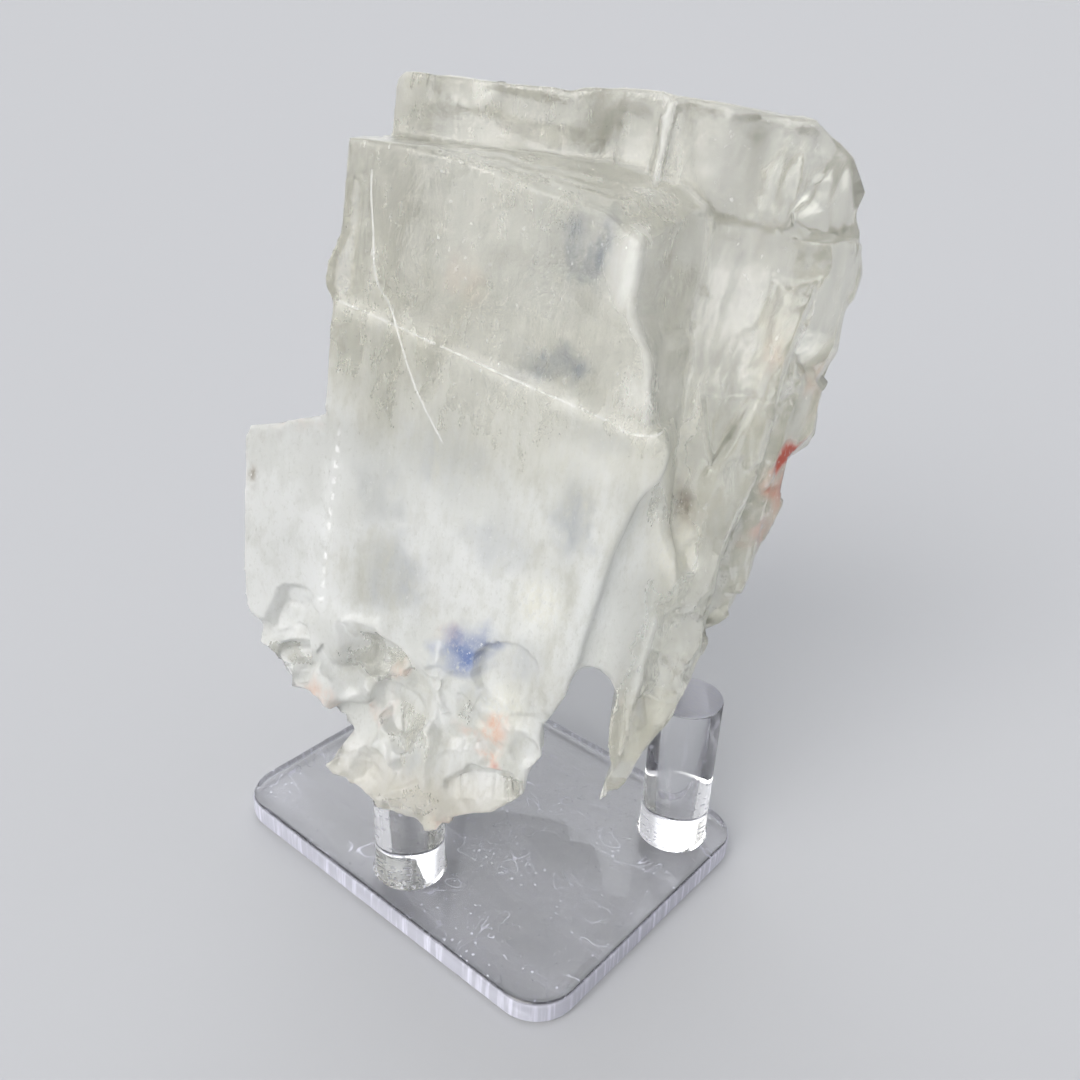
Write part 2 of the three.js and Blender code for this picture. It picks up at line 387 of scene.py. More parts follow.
# Blots of colour: centre, radii and strength.
# Painted shade of the clear windows of the front face, and faint grey clouds inside it.
CLOUDS_AND_WINDOW_SHADES = (
    ((3.2, 0, 85), (6.5, 12, 8), 1.0),
    ((0, 0, 82), (11, 12, 11), 0.35),
    ((1, 0, 69), (9, 12, 4.2), 0.9),
    ((7.5, 0, 49), (4.2, 10, 8.5), 0.65),
    ((10, 0, 60), (6, 10, 4), 0.45),
    ((-17, 0, 34), (7, 10, 8), 0.5),
    ((-22, 0, 46), (6, 10, 7), 0.35),
    ((-3, 0, 42), (6, 10, 6), 0.35),
    ((4, 0, 24), (5, 8, 5), 0.3),
    ((-12, 0, 55), (9, 10, 9), 0.35),
    ((-12, 0, 4), (5, 8, 5), 0.35),
    ((-3, 0, 16), (4, 8, 5), 0.4),
)
# Painted shade: darker grey-green on the upper wall and in the windows of the right flank.
SHADES = (
    ((-24, 16, 98), (7, 10, 8), 0.5),
    ((-1, 16, 99.5), (9, 10, 7), 0.7),
    ((22, 16, 100), (9, 10, 7), 0.55),
    ((14, 6, 78), (4, 8, 14), 0.6),
    ((24, 14, 62), (6, 10, 8), 0.95),
    ((34, 16, 63), (2.6, 10, 9), 0.8),
    ((29, 14, 90), (3, 9, 8), 0.5),
    ((-12, 0, 76), (14, 9, 12), 0.25),
)
CRUSTS = (
    ((20.5, 8, 60), (3.2, 10, 15), 0.9),
    ((22, 10, 44), (5, 10, 10), 0.7),
    ((4, 0, 34), (6, 8, 7), 0.6),
    ((1, 0, 16), (5, 8, 6), 0.5),
)
BLUSHES = (
    ((-37, 0, 53.5), (7, 9, 1.6), 0.45),
    ((-13, 0, 79), (4.0, 9, 6), 0.22),
    ((1, 0, 12), (3.4, 7, 3.2), 0.85),
    ((1, 0, 7.5), (3.2, 7, 2.6), 0.7),
    ((-3, 0, 10), (3.0, 7, 2.4), 0.6),
    ((-8, 0, 26), (3.2, 6, 2.4), 0.45),
    ((-28, 0, 11), (4.5, 9, 3.2), 0.5),
    ((-16, 0, 16.5), (2.2, 8, 3.6), 0.8),
    ((-17.6, 0, 10.5), (2.2, 8, 4), 0.75),
    ((30, 16, 74), (3, 9, 6), 0.45),
    ((37.5, 18, 70), (3, 12, 7), 0.6),
    ((35, 18, 51), (4, 14, 9), 0.65),
    ((-4, 0, -6), (5, 9, 3), 0.4),
)
RUSTS = (
    ((36.5, 18, 58.5), (3.6, 14, 4.2), 1.6),
    ((26.5, 2, 29), (1.8, 7, 2.6), 0.7),
    ((20, 1, 19), (1.2, 7, 2.0), 0.6),
    ((34.6, 16, 52), (2.6, 12, 4.5), 0.6),
    ((33.2, 16, 46), (2.0, 12, 4.0), 0.45),
    ((2, 0, 7), (1.3, 5, 1.2), 0.5),
)
BLUES = (
    ((-5.5, 0, 23.5), (6.0, 7, 5.2), 1.0),
    ((-3.2, 0, 26.5), (4.2, 6, 3.6), 0.7),
)
# Painted shade in the crease of the right hollow and in cracks, brown-grey.
DUSKS = (
    ((-41, 0, 45), (1.6, 6, 4), 0.9),
    ((-40, 0, 51), (2.5, 6, 1.2), 0.5),
    ((22, 13, 51), (4, 11, 6.5), 1.0),
    ((14.5, 6, 84), (1.2, 9, 6), 0.7),
    ((25.5, 14, 88), (2, 9, 7), 0.35),
)
# Painted highlights: soft white glows on the ridges. Then the places where the broken crystal is clear as
# glass.
RIDGE_HIGHLIGHTS = (
    ((9.0, 0, 83), (4.0, 9, 8), 1.0),
    ((12.8, 1, 67), (3.6, 8, 5), 0.55),
    ((8, 12, 92), (6, 6, 3), 0.45),
    ((-20, 8, 94), (14, 9, 2), 0.35),
    ((9, 0, 57), (5, 8, 5), 0.45),
)
GLASSES = (
    ((-19, 0, 18), (9, 10, 8), 1.0),
    ((-35, 2, 15.5), (7, 10, 7), 1.0),
    ((-14, 0, 8), (7, 9, 8), 0.8),
    ((5, 0, 3), (5, 8, 5), 0.9),
    ((-3, 0, 13), (5, 8, 5), 0.5),
    ((-12, 0, -4), (9, 9, 4), 0.5),
)
# Courses of thin marks on the front face, in x and z.
SCRATCH = ((-12.5, 55.3), (-15, 58.7), (-18, 63.5), (-21, 69.8), (-23, 73.5), (-24.8, 75.7),
           (-25.5, 78), (-26, 82), (-26.8, 87), (-27, 90.3))
# The step's thin white line is a painted highlight along its edge.
STEP = ((-30.5, 72.5), (-20, 70.2), (-10, 67.7), (0, 65.3), (10, 63), (14, 61.9), (18, 63.2))
BUBBLE_ROW = ((-28.2, 54), (-28.6, 40), (-29, 25))
# Fine ledges on the shoulder: level at their start and height. They run down to the right.
LEDGES = ((93.2, 0.35), (94.1, 0.30), (95.0, 0.25))
LEDGE_START = -20
LEDGE_SLOPE = 0.075
LEDGE_WIDTH = 0.35
# Zones: the axis along which each one fades, where it is 0 and where it is 1.
ZONES = {
    "foot": (("z", 26, 17), ("x", 12, 4), ("y", 26, 18)),
    "left": (("x", -27, -31), ("z", 28, 20)),
    "leg": (("z", 50, 34), ("x", 18, 23), ("z", 6, 12)),
    "rim": (("x", 22, 32), ("y", 4, 10)),
    "behind": (("y", 22, 30),),
    "underside": (("z", 6, 0),),
    "flank": (("x", 17, 22), ("y", 4, 8), ("z", 30, 44)),
    "low_flank": (("x", 17, 22), ("y", 4, 8), ("z", 30, 44), ("z", 84, 66)),
    "wall": (("y", 11, 15), ("y", 26, 22), ("z", 90, 95)),
    "shoulder": (("y", -0.5, 1), ("y", 16.5, 15), ("x", -21.5, -20), ("x", 9.5, 8)),
    "front": (("y", 6, 3),),
    "seam": (("x", -34, -32), ("x", -24, -26), ("z", 17, 20), ("z", 55, 52), ("y", 6, 3)),
    "melted": (("x", 6, 9), ("x", 30, 27), ("z", 20, 24), ("z", 56, 52), ("y", 14, 9)),
    "lower": (("z", 82, 30),),
    "left_end": (("x", -22, -34),),
    "clear_flank": (("x", 14, 20), ("y", 3, 8)),
    "lip": (("z", 5, -3), ("y", 20, 10)),
}
# How much of each zone is chipped, how much is stepped, and how high its upright ribs are.
CHIPPED = (("foot", 1), ("left", 1), ("leg", 0.6), ("rim", 0.5))
STEPPED = (("behind", 1), ("underside", 0.4))
RIBS = (("flank", 0.25), ("low_flank", 0.5), ("wall", 0.2))
RIB_SHARPNESS = 4
# The seat on a peg: from where it fades to where it is whole, out from the peg's axis and above its top.
SEAT_REACH = (9.5, 7.5)
SEAT_HEIGHT = (5, 2)
SOFT_END = 1.5
MELT_ROUNDS = 60
# Flakes: where, how many, the smallest and largest radius in mm, and the most depth as a share of it.
FLAKES = (
    ("chipped", 150, 2.0, 6.0, 0.26),
    ("chipped", 300, 0.9, 2.6, 0.28),
    ("stepped", 60, 4.0, 11.0, 0.18),
    ("stepped", 90, 1.5, 4.0, 0.20),
)
FLAKE_TILT = 0.38
FLAKE_THINNEST = 0.04
FLAKE_TALLEST = 0.4
FLAKE_MARGIN = 1.1
# Masks that the crystal's points carry, and those that are blots alone.
MASKS = ("frost", "veil", "shade", "bright", "crust", "blush", "rust", "blue", "dusk", "lip", "glass")
STAIN_AND_SHADE_BLOTS = {"crust": CRUSTS, "blush": BLUSHES, "rust": RUSTS, "blue": BLUES, "dusk": DUSKS}
# Coats of colour, the lowest first: colour, mask, noise, where the noise begins and ends, strength.
COATS = (
    ("shade", "patchy", "mottled", 0.58, 0.36, 1.0),
    ("shade", "upper", "drawn", 0.56, 0.38, 0.18),
    # Painted shade of the windows, with grey clouds.
    ("cloud_and_window_grey", "veil", "mottled", 0.18, 0.58, 0.85),
    # Painted shade of the wall and the flank.
    ("shade", "shade", "mottled", 0.26, 0.62, 1.0),
    ("shade", "whole", "grain", 0.46, 0.30, 0.22),
    # Painted shade in the pits.
    ("dusk", "pitted", "grain", 0.31, 0.25, 0.5),
    ("crust", "crust", "grain", 0.35, 0.60, 0.8),
    # Painted shade in creases and cracks.
    ("dusk", "dusk", "mottled", 0.30, 0.62, 1.0),
    ("cream", "lip", "even", 0, 0, 0.4),
    ("peach", "blush", "mottled", 0.30, 0.60, 1.0),
    ("rust", "rust", "grain", 0.24, 0.46, 1.0),
    ("blue", "blue", "grain", 0.15, 0.52, 1.0),
)
# How strongly the clear part takes each mask's colour, how rough each mask is, and how clear.
DEPTHS = (("stained", 0.55), ("veil", 0.45), ("shade", 0.45), ("dusk", 0.5))
LEAST_DEPTH = 0.42
ROUGH = (("mottled", 0.16), ("frost", 0.12), ("crust", 0.2), ("glass", -0.08))
LEAST_ROUGH = 0.17
CLEAR = (("glass", 0.06), ("frost", -0.29), ("white", -0.35), ("crust", -0.3), ("stained", -0.25),
         ("veil", -0.15), ("rust", -0.45), ("dusk", -0.35))
PLAIN_CLEAR = 0.80
LEAST_CLEAR = 0.05
# Thin marks: how far from their line they end, and how near to it they are whole.
SCRATCH_EDGES = (0.19, 0.06)
BUBBLE_EDGES = (0.45, 0.20)
BUBBLE_BEAT = 2.6
STEP_EDGES = (0.24, 0.06)
MARK_END = 0.6


def local_points(piece, settings):
    """The points of a piece in the crystal's own axes, in mm."""
    turn = np.array(crystal_turn(settings))
    return (points_of(piece) - np.array(settings.origin)) @ turn / MM


def ripples(points, scale, octaves, stretch=(1, 1, 1)):
    """Fractal noise at each point, about -1 to 1."""
    spread = points * scale / np.array(stretch)
    return np.array([noise.fractal(p, 1.0, 2.0, octaves) for p in spread.tolist()])


def off_course(x, z, course):
    """How far each point is from a line of joined places, seen from the front."""
    nearest = np.full(len(x), np.inf)
    for (x0, z0), (x1, z1) in zip(course, course[1:]):
        run, climb = x1 - x0, z1 - z0
        share = ((x - x0) * run + (z - z0) * climb) / (run * run + climb * climb)
        share = np.clip(share, 0, 1)
        nearest = np.minimum(nearest, np.hypot(x - x0 - share * run, z - z0 - share * climb))
    return nearest


def within(values, low, high):
    """1 between two places, with soft ends."""
    return rise(values, low - SOFT_END, low) * rise(values, high + SOFT_END, high)


def blots(points, places, core=0.15):
    """The strongest of several soft blots at each point."""
    total = np.zeros(len(points))
    for centre, radii, strength in places:
        away = np.linalg.norm((points - np.array(centre)) / np.array(radii), axis=1)
        total = np.maximum(total, rise(away, 1.0, core) * strength)
    return total


def zone(points, name):
    """How far each point lies in a zone, from 0 to 1."""
    share = np.ones(len(points))
    for axis, none, whole in ZONES[name]:
        share = share * rise(points[:, "xyz".index(axis)], none, whole)
    return share


def strayed(points, scale, octaves, reach):
    """The points moved about by noise, so that lines and blots wander."""
    stray = [ripples(points + shift, scale, octaves) for shift in (0, 40, 80)]
    return points + np.stack(stray, axis=1) * reach


def near_step(points, half_width):
    """How near each point of the front is to the line of the step."""
    x, _, z = points.T
    return np.exp(-(off_course(x, z, STEP) / half_width) ** 2) * zone(points, "front")


def seat_share(piece):
    """1 where the crystal sits on a peg, so that its seat stays as it is."""
    points = points_of(piece) / MM
    seat = np.zeros(len(points))
    for node in PEG_NODES:
        low, high = (np.array(corner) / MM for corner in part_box(node))
        middle = (low + high) / 2
        away = np.hypot(points[:, 0] - middle[0], points[:, 1] - middle[1])
        fades, whole = (high[2] + above for above in SEAT_HEIGHT)
        seat = np.maximum(seat, rise(away, *SEAT_REACH) * rise(points[:, 2], fades, whole))
    return seat


def crystal_weights(piece, settings):
    """Where the crystal is chipped, grooved, stepped, raised, hollowed or left smooth."""
    points = local_points(piece, settings)
    share = {name: zone(points, name) for name in ZONES}
    free = 1 - seat_share(piece)
    wander = strayed(points, 0.25, 2, 0.45)
    raised = np.zeros(len(points))
    for course, (near, far), half_width, height, _ in RIDGES:
        away = off_course(wander[:, 0], wander[:, 2], course)
        raised += np.exp(-away / half_width) * height * within(points[:, 1], near, far)
    for level, height in LEDGES:
        off = wander[:, 2] - level + LEDGE_SLOPE * (wander[:, 0] - LEDGE_START)
        raised += np.exp(-(off / LEDGE_WIDTH) ** 2) * height * share["shoulder"]
    ribs = 1 - np.abs(ripples(points, 0.13, 2, (1, 1, 5)))
    raised += ribs ** RIB_SHARPNESS * mixture(share, RIBS)
    sunk = np.zeros(len(points))
    for centre, radii, depth in HOLLOWS:
        away = np.linalg.norm((wander - np.array(centre)) / np.array(radii), axis=1)
        sunk = np.maximum(sunk, np.clip(1 - away * away, 0, 1) * depth)
    seam = np.maximum(share["seam"], share["melted"] * 0.8)
    return {
        "all": free,
        "chipped": free * np.clip(mixture(share, CHIPPED), 0, 1),
        "grooved": free * share["flank"],
        "stepped": free * np.clip(mixture(share, STEPPED), 0, 1),
        "seam": np.maximum(seam, near_step(points, 1.6) * 0.9),
        "raised": free * raised,
        "sunk": free * sunk / DEEPEST,
    }


def strike(points, centre, facing, radius, depth):
    """Strikes one shell-shaped flake off the surface."""
    near = np.flatnonzero(np.abs(points - centre).max(axis=1) < radius * FLAKE_MARGIN)
    away = points[near] - centre
    height = away @ facing
    across = np.linalg.norm(away - height[:, None] * facing, axis=1) / radius
    bowl = -depth * (1 - across * across)
    struck = (across < 1) & (height > bowl) & (height < radius * FLAKE_TALLEST)
    points[near[struck]] -= (height - bowl)[struck, None] * facing


def chip_surface(piece, weights, settings):
    """Breaks the foot, the rim and the back with flakes of many sizes."""
    rng = np.random.default_rng(settings.chance)
    points = points_of(piece)
    normals = normals_of(piece)
    for group, count, smallest, largest, deepest in FLAKES:
        share = weights[group] ** 2
        places = rng.choice(len(points), count, p=share / share.sum())
        for index in places:
            facing = normals[index] + rng.normal(0, FLAKE_TILT, 3)
            facing /= np.linalg.norm(facing)
            radius = rng.uniform(smallest, largest) * MM
            depth = radius * rng.uniform(FLAKE_THINNEST, deepest)
            strike(points, points[index].copy(), facing, radius, depth)
    piece.data.vertices.foreach_set("co", points.ravel())
    piece.data.update()


def build_crystal_mesh(settings):
    piece = copy_of_node("crystal", "milky_crystal")
    apply_modifier(piece, "REMESH", mode="VOXEL", voxel_size=settings.grain)
    apply_modifier(piece, "SMOOTH", factor=0.5, iterations=settings.softening)
    weights = crystal_weights(piece, settings)
    for name, values in weights.items():
        weigh(piece, name, values)
    apply_modifier(piece, "SMOOTH", factor=0.5, iterations=MELT_ROUNDS, vertex_group="seam")
    apply_modifier(piece, "DISPLACE", vertex_group="raised", strength=MM, mid_level=0)
    apply_modifier(piece, "DISPLACE", vertex_group="sunk", strength=-DEEPEST * MM, mid_level=0)
    axes = bpy.data.objects.new("crystal_axes", None)
    bpy.context.scene.collection.objects.link(axes)
    turn = crystal_turn(settings).to_4x4()
    shift = Matrix.Translation(settings.origin)
    waves = texture("waves", "CLOUDS", noise_scale=0.012, noise_depth=2)
    dimples = texture("dimples", "CLOUDS", noise_scale=0.0035, noise_depth=2)
    grooves = texture("grooves", "CLOUDS", noise_scale=0.0030, noise_depth=3)
    ledges = texture("ledges", "VORONOI", noise_scale=0.0075, color_mode="POSITION",
                     distance_metric="CHEBYCHEV")
    # Relief: pattern, where, height, the level that stays in place, stretch along each axis.
    cuts = (
        (waves, "all", settings.ripple, 0.5, (1, 1, 1.6)),
        (dimples, "all", settings.ripple * 0.3, 0.5, (1, 1, 1.5)),
        (grooves, "grooved", settings.groove * 0.7, 0.5, (1, 1, 7)),
        (ledges, "stepped", settings.ledge, 0.6, (1.2, 1.2, 2.6)),
    )
    for pattern, group, strength, level, stretch in cuts:
        axes.matrix_world = shift @ turn @ Matrix.Diagonal((*stretch, 1))
        bpy.context.view_layer.update()
        apply_modifier(piece, "DISPLACE", texture=pattern, vertex_group=group, strength=strength,
                       mid_level=level, texture_coords="OBJECT", texture_coords_object=axes)
    bpy.data.objects.remove(axes)
    chip_surface(piece, weights, settings)
    apply_modifier(piece, "SMOOTH", factor=0.25, iterations=1)
    piece.data.calc_loop_triangles()
    share = settings.most_faces / len(piece.data.loop_triangles)
    if share < 1:
        apply_modifier(piece, "DECIMATE", decimate_type="COLLAPSE", ratio=share)
    piece.vertex_groups.clear()
    paint_masks(piece, settings)
    bpy.ops.object.shade_smooth()
    return piece


def standing_out(piece):
    """How far each point stands out of its surroundings."""
    mesh = piece.data
    points = points_of(piece)
    normals = normals_of(piece)
    ends = np.empty(len(mesh.edges) * 2, dtype=np.int32)
    mesh.edges.foreach_get("vertices", ends)
    first, second = ends.reshape(-1, 2).T
    along = points[second] - points[first]
    reach = np.linalg.norm(along, axis=1) + 1e-9
    bend = np.zeros(len(points))
    count = np.bincount(ends, minlength=len(points))
    np.add.at(bend, first, -(along * normals[first]).sum(axis=1) / reach)
    np.add.at(bend, second, (along * normals[second]).sum(axis=1) / reach)
    bend /= np.maximum(count, 1)
    for _ in range(2):
        total = bend * 2
        np.add.at(total, first, bend[second])
        np.add.at(total, second, bend[first])
        bend = total / (count + 2)
    return bend


def keep(piece, name, values):
    """Stores a value for each point, which the material reads by its name."""
    stored = piece.data.attributes.new(name, "FLOAT", "POINT")
    stored.data.foreach_set("value", np.clip(values, 0, 1).astype(np.float32))


def paint_masks(piece, settings):
    """Lays out the crystal's frosting, grey clouds, stains, painted shade and painted highlights, as masks
    for its material.
    """
    points = local_points(piece, settings)
    x, y, z = points.T
    slow = ripples(points, 0.05, 3)
    streaks = ripples(points, 0.30, 3, (1, 1, 5))
    wander = strayed(points, 0.22, 3, 2.2)
    glass = np.maximum(zone(points, "clear_flank"), blots(wander, GLASSES))
    frost = zone(points, "lower") * 0.75 + slow * 0.45 + streaks * 0.18 + zone(points, "left_end") * 0.35
    # Painted shade of the wall and the flank, with a little random grey.
    shade = blots(wander, SHADES) * (0.75 + streaks * 1.1) + rise(slow, 0.1, 0.6) * 0.3
    across = wander[:, 0] * 0.35 + x * 0.65
    height = wander[:, 2] * 0.35 + z * 0.65
    # Painted highlights: white lines along the ridges, on the edges that stand out, and soft glows on the
    # ridges.
    lines = np.zeros(len(points))
    for course, (near, far), half_width, _, white in RIDGES:
        away = off_course(across, height, course) / (half_width * 0.8)
        lines = np.maximum(lines, np.exp(-away ** 2) * white * within(y, near, far))
    edges = rise(standing_out(piece), 0.10, 0.34) * (1 - near_step(points, 2.0))
    bright = np.maximum(edges, lines * (0.75 + streaks * 0.4))
    bright = np.maximum(bright, blots(points, RIDGE_HIGHLIGHTS) * (0.85 + streaks * 0.5))
    keep(piece, "frost", frost * (1 - glass * 0.5))
    # Painted shade of the windows, with grey clouds.
    keep(piece, "veil", blots(wander, CLOUDS_AND_WINDOW_SHADES, 0.35) * (0.85 + streaks * 0.5))
    keep(piece, "shade", shade)
    keep(piece, "bright", bright)
    # Stains, and the painted shade of the dusk blots.
    for name, places in STAIN_AND_SHADE_BLOTS.items():
        keep(piece, name, blots(wander, places))
    keep(piece, "lip", zone(points, "lip"))
    keep(piece, "glass", glass)


def curve_course(start, across, along, course):
    """How far a point of the front face is from a mark's course, and whether it is between its ends."""
    course = sorted(course, key=lambda spot: spot[1])
    low, high = course[0][1], course[-1][1]
    left = min(spot[0] for spot in course)
    right = max(spot[0] for spot in course)
    points = [((at - low) / (high - low), (off - left) / (right - left)) for off, at in course]
    reached = (along - low) / (high - low)
    bend = start.node("ShaderNodeFloatCurve", {"points": points}, {"Value": reached})
    off = across - (bend * (right - left) + left)
    begun = between(along, low - MARK_END, low + MARK_END)
    lasting = between(along, high + MARK_END, high - MARK_END)
    return off.math("ABSOLUTE", off), begun * lasting


def thin_marks(start, x, y, z, mottled, grain):
    """Thin marks of the front face: the long curved scratch, the row of bubbles and the painted highlight of
    the cleavage step.
    """
    front = between(y, 5.0, 1.5)
    off, ends = curve_course(start, x, z, SCRATCH)
    scratch = between(off, *SCRATCH_EDGES) * ends * front
    off, ends = curve_course(start, x, z, BUBBLE_ROW)
    beads = between(z.math("SINE", z * BUBBLE_BEAT), -0.2, 0.5) * between(grain, 0.38, 0.50)
    bubbles = between(off, *BUBBLE_EDGES) * ends * front * beads
    off, ends = curve_course(start, z, x, [(up, at) for at, up in STEP])
    step = between(off, *STEP_EDGES) * ends * front * between(mottled, 0.34, 0.58)
    return strongest(scratch * 0.85, bubbles * 0.85, step * 0.7)


def crystal_material(settings):
    """A milky and a clear surface, mixed by the masks, over light absorption in the depth."""
    material, start = new_material("milky_crystal")
    coordinates = start.node("ShaderNodeTexCoord", output=3)
    turn = crystal_turn(settings).to_euler("XYZ")
    where = start.node("ShaderNodeMapping", {"vector_type": "TEXTURE"}, {
        "Vector": coordinates, "Location": settings.origin, "Rotation": turn, "Scale": (MM,) * 3})
    axes = start.node("ShaderNodeSeparateXYZ", None, {"Vector": where})
    x, y, z = (Wire(start.tree, axes.socket.node.outputs[i]) for i in range(3))
    mask = {name: start.node("ShaderNodeAttribute", {"attribute_name": name}, output=2) for name in MASKS}
    mottled = cloud_noise(stretched(where, (0.5, 0.5, 0.22)), 1.0, 5, 0.7)
    grain = cloud_noise(stretched(where, (1.0, 1.0, 0.6)), 1.7, 3, 0.7)
    drawn = cloud_noise(stretched(where, (1.1, 1.1, 0.09)), 1.0, 3, 0.6)
    noises = {"mottled": mottled, "grain": grain, "drawn": drawn}

    mask["mottled"] = mottled
    mask["upper"] = 1 - mask["frost"]
    mask["patchy"] = 0.22 + mask["glass"] * 0.10
    mask["pitted"] = between(mottled, 0.52, 0.40)
    mask["stained"] = strongest(mask["blush"], mask["rust"], mask["blue"])
    frosted = between(mask["frost"] + (mottled - 0.5) * 0.8, 0.1, 0.9)
    tint = blend(frosted, settings.body, settings.frost)
    for coat, name, pattern, begins, ends, strength in COATS:
        if pattern == "even":
            share = mask[name] * strength
        elif name == "whole":
            share = between(noises[pattern], begins, ends) * strength
        else:
            share = mask[name] * between(noises[pattern], begins, ends) * strength
        tint = blend(share, tint, getattr(settings, coat))

    marks = thin_marks(start, x, y, z, mottled, grain)
    specks = between(grain, 0.62, 0.72) * 0.7
    # Painted highlights of the bright mask, with the white scratches, bubbles and specks.
    mask["white"] = strongest(mask["bright"] * 0.8, marks, specks) * (1 - mask["rust"])
    tint = blend(mask["white"], tint, settings.glint)
    deep = strongest(*(mask[name] * part for name, part in DEPTHS)) + LEAST_DEPTH

    roughness = mixture(mask, ROUGH, LEAST_ROUGH)
    relief = bump(grain * 0.6 + mottled, 0.30, 0.0004)
    milky = start.node("ShaderNodeBsdfPrincipled", None, {
        "Base Color": tint, "Roughness": roughness, "IOR": CRYSTAL_INDEX, "Normal": relief})
    clear = start.node("ShaderNodeBsdfPrincipled", None, {
        "Base Color": blend(deep, settings.glint, tint), "Roughness": roughness,
        "IOR": CRYSTAL_INDEX, "Transmission Weight": 1.0, "Normal": relief})
    see_through = mixture(mask, CLEAR, PLAIN_CLEAR)
    see_through = strongest(see_through, LEAST_CLEAR)
    surface = start.node("ShaderNodeMixShader", None, {0: see_through, 1: milky, 2: clear})
    haze = start.node("ShaderNodeVolumeAbsorption", None, {
        "Color": (*settings.depth_tint, 1), "Density": settings.depth})
    show(start, surface, haze)
    return material


class CRYSTAL_OT_build_crystal(bpy.types.Operator):
    """Build the milky crystal: softened cleavage faces, chipped foot and grooved flank"""
    bl_idname = "mineral.build_crystal"
    bl_label = "Crystal"

    def execute(self, context):
        settings = context.scene.crystal_settings
        piece = build_crystal_mesh(settings)
        finish_piece(piece, crystal_material(settings), "crystal")
        return {"FINISHED"}


# The stand.

# Rings of the glue round a peg's foot: height and how far out, as shares of the collar.
COLLAR_RINGS = ((1.0, 0.0), (0.45, 0.3), (0.12, 1.0))
PEG_SIDES = 64


def select_edges(piece, wanted):
    """In edit mode, selects the edges for which wanted is true."""
    bpy.ops.mesh.select_mode(type="EDGE")
    bpy.ops.mesh.select_all(action="DESELECT")
    shape = bmesh.from_edit_mesh(piece.data)
    for line in shape.edges:
        line.select_set(wanted(line))
    bmesh.update_edit_mesh(piece.data)


def upright(line):
    return abs((line.verts[0].co - line.verts[1].co).normalized().z) > STRAIGHT_UP


def round_a_flat(line):
    flats = [abs(face.normal.z) > STRAIGHT_UP for face in line.link_faces]
    return len(flats) == 2 and flats[0] != flats[1]


def build_plate_mesh(settings):
    low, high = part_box("base_plate")
    middle, sides = (low + high) / 2, high - low
    clear_selection()
    bpy.ops.mesh.primitive_cube_add(size=1, location=middle, scale=sides)
    bpy.ops.object.transform_apply(location=True, rotation=True, scale=True)
    piece = bpy.context.object
    piece.name = piece.data.name = "acrylic_plate"
    bpy.ops.object.mode_set(mode="EDIT")
    select_edges(piece, upright)
    bpy.ops.mesh.bevel(offset=settings.corner, segments=12, affect="EDGES")
    select_edges(piece, round_a_flat)
    bpy.ops.mesh.bevel(offset=settings.edge, segments=5, affect="EDGES")
    bpy.ops.object.mode_set(mode="OBJECT")
    bpy.ops.object.shade_smooth_by_angle(angle=SHARP_ANGLE)
    return piece


def build_peg_mesh(node, settings):
    low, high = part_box(node)
    middle = (low + high) / 2
    bottom = low.z + settings.glue
    radius = (high.x - low.x) / 2
    clear_selection()
    bpy.ops.mesh.primitive_cylinder_add(vertices=PEG_SIDES, radius=radius, depth=high.z - bottom,
                                        location=(middle.x, middle.y, (high.z + bottom) / 2))
    bpy.ops.object.transform_apply(location=True, rotation=True, scale=True)
    piece = bpy.context.object
    piece.name = piece.data.name = "acrylic_" + node
    bpy.ops.object.mode_set(mode="EDIT")
    select_edges(piece, lambda line: round_a_flat(line) and line.verts[0].co.z > middle.z)
    bpy.ops.mesh.bevel(offset=settings.peg_edge, segments=3, affect="EDGES")
    for height, share in COLLAR_RINGS:
        bpy.ops.mesh.select_all(action="SELECT")
        level = bottom + settings.collar_height * height
        bpy.ops.mesh.bisect(plane_co=(middle.x, middle.y, level), plane_no=(0, 0, 1))
        if share:
            grow = 1 + settings.collar * share / radius
            bpy.ops.transform.resize(value=(grow, grow, 1), center_override=(middle.x, middle.y, level))
    bpy.ops.object.mode_set(mode="OBJECT")
    bpy.ops.object.shade_smooth_by_angle(angle=SHARP_ANGLE)
    return piece


def acrylic(start, dirt, roughness, settings):
    """Clear acrylic under a thin coat of dust, scratches and frosting."""
    clear = start.node("ShaderNodeBsdfPrincipled", None, {
        "Base Color": ACRYLIC_TINT, "Roughness": roughness, "IOR": ACRYLIC_INDEX, "Transmission Weight": 1.0})
    dust = start.node("ShaderNodeBsdfPrincipled", None, {
        "Base Color": (*settings.dust, 1), "Roughness": DUST_ROUGHNESS})
    return start.node("ShaderNodeMixShader", None, {0: dirt, 1: clear, 2: dust})


